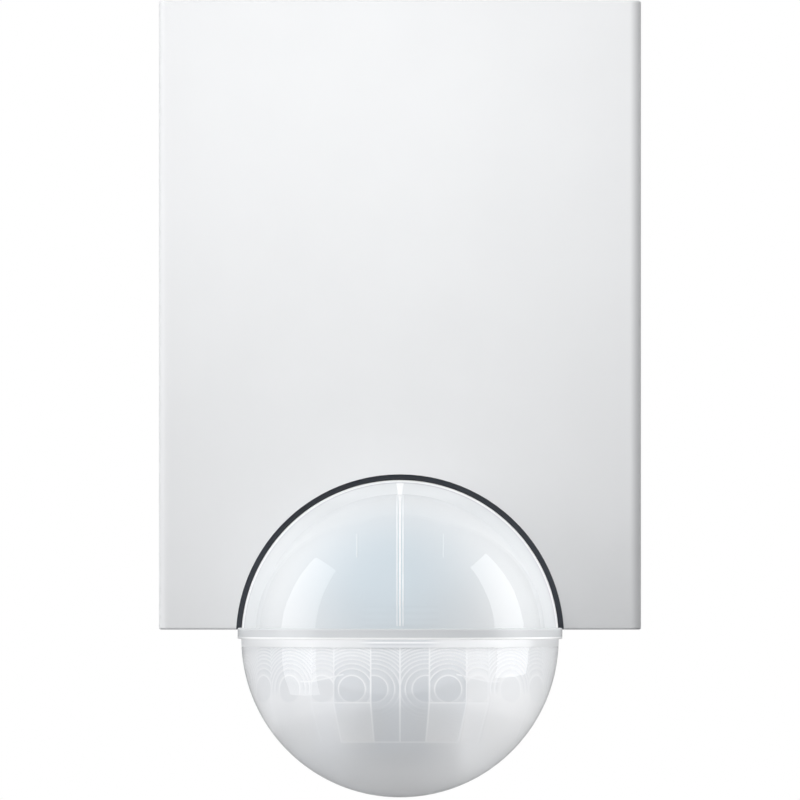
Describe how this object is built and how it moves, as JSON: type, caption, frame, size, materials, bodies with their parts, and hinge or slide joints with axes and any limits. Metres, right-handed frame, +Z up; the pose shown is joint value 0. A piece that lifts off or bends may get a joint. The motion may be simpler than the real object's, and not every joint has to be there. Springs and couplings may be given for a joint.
{
  "type": "motion sensor",
  "caption": "Wall-mounted outdoor infrared motion sensor: flat housing with a ball-shaped detector head that pans, tilts and rolls in a socket in its lower edge.",
  "frame": {"origin": "centre of the housing's wall face", "axes": "+Y into the wall, -Y the front, +Z up, +X to the right seen from the front"},
  "size_m": [0.092, 0.08, 0.1519],
  "materials": {
    "cover_white": "fine satin white",
    "base_white": "satin white",
    "seal_black": "matt black rubber",
    "silicone_white": "white silicone",
    "socket_grey": "matt dark grey",
    "dome_clear": "clear, glossy",
    "hood_white": "satin white",
    "guide_clear": "clear diffuser",
    "lens_clear": "milky translucent",
    "chassis_white": "satin white",
    "carrier_blue_grey": "satin blue-grey",
    "connector_white": "natural nylon",
    "led_red": "clear red",
    "sensor_clear": "clear resin",
    "silicon_dark": "dark silicon filter",
    "board_green": "solder mask",
    "relay_black": "satin black",
    "film_yellow": "moulded yellow box",
    "sleeve_black": "shrink sleeve",
    "ferrite_brown": "ferrite and tape",
    "varistor_blue": "dipped resin",
    "terminal_brass": "nickel-plated brass",
    "fuse_glass": "glass with metal caps",
    "chip_black": "moulded black",
    "resistor_tan": "lacquered",
    "diode_black": "moulded black",
    "terminal_grey": "satin grey",
    "trimmer_blue": "satin blue",
    "ribbon_grey": "flat ribbon",
    "cable_grey": "soft grey sheath",
    "swivel_grey": "glass-filled nylon",
    "dial_grey": "satin grey",
    "zinc_steel": "zinc-plated",
    "sensor_can": "nickel-plated can"
  },
  "bodies": {
    "housing": {"base_plate": "base_white", "wall_seal": "seal_black", "cover_seal": "seal_black", "rear_cable_grommet": "seal_black", "housing_cover": "cover_white", "cover_screws": "zinc_steel", "socket_shell": "socket_grey", "socket_screws": "zinc_steel", "neck_seal": "seal_black", "neck": "socket_grey", "neck_screws": "zinc_steel", "pan_pin": "zinc_steel", "pan_pin_clip": "zinc_steel", "control_board": "board_green", "trimmers": "trimmer_blue", "power_board": "board_green", "board_screws": "zinc_steel", "relay": "relay_black", "film_capacitor": "film_yellow", "electrolytic_capacitors": "sleeve_black", "transformer": "ferrite_brown", "varistor": "varistor_blue", "fuse_clips": "terminal_brass", "fuse": "fuse_glass", "controller_chip": "chip_black", "resistors": "resistor_tan", "diodes": "diode_black", "head_plug_socket": "connector_white", "terminal_block": "terminal_grey", "terminal_clamps": "terminal_brass", "terminal_screws": "zinc_steel", "control_ribbon": "ribbon_grey", "head_cable": "cable_grey"},
    "swivel": {"swivel_block": "swivel_grey"},
    "cradle": {"tilt_cradle": "swivel_grey", "tilt_pins": "zinc_steel", "roll_washer": "zinc_steel", "roll_screw": "zinc_steel"},
    "head": {"head_chassis": "chassis_white", "deck_screws": "zinc_steel", "upper_dome": "dome_clear", "dome_hood": "hood_white", "light_guide": "guide_clear", "rear_shell": "hood_white", "lens": "lens_clear", "head_seal": "silicone_white", "head_board": "board_green", "head_board_screws": "zinc_steel", "head_connector": "connector_white", "status_led": "led_red", "light_sensor": "sensor_clear", "sensor_carrier": "carrier_blue_grey", "pyro_sensor_left_side": "sensor_can", "pyro_sensor_left_front": "sensor_can", "pyro_sensor_right_front": "sensor_can", "pyro_sensor_right_side": "sensor_can", "pyro_windows": "silicon_dark"},
    "time_setting": {"time_dial": "dial_grey"},
    "lux_setting": {"lux_dial": "dial_grey"},
    "range_setting": {"range_dial": "dial_grey"}
  },
  "joints": [
    {"name": "head_pan", "type": "hinge", "parent": "housing", "child": "swivel", "pos_m": [0, -0.049, -0.0617], "axis": [0, 0, 1], "range_deg": [-12, 12]},
    {"name": "head_tilt", "type": "hinge", "parent": "swivel", "child": "cradle", "pos_m": [0, -0.049, -0.0617], "axis": [1, 0, 0], "range_deg": [-9, 24], "deforming": ["head_cable"]},
    {"name": "head_roll", "type": "hinge", "parent": "cradle", "child": "head", "pos_m": [0, -0.049, -0.0617], "axis": [0, 1, 0], "range_deg": [-12, 12]},
    {"name": "time_dial_turn", "type": "hinge", "parent": "housing", "child": "time_setting", "pos_m": [-0.022, -0.0076, -0.058], "axis": [0, 0, 1], "range_deg": [-135, 135]},
    {"name": "lux_dial_turn", "type": "hinge", "parent": "housing", "child": "lux_setting", "pos_m": [0, -0.0076, -0.058], "axis": [0, 0, 1], "range_deg": [-135, 135]},
    {"name": "range_dial_turn", "type": "hinge", "parent": "housing", "child": "range_setting", "pos_m": [0.022, -0.0076, -0.058], "axis": [0, 0, 1], "range_deg": [-135, 135]}
  ]
}
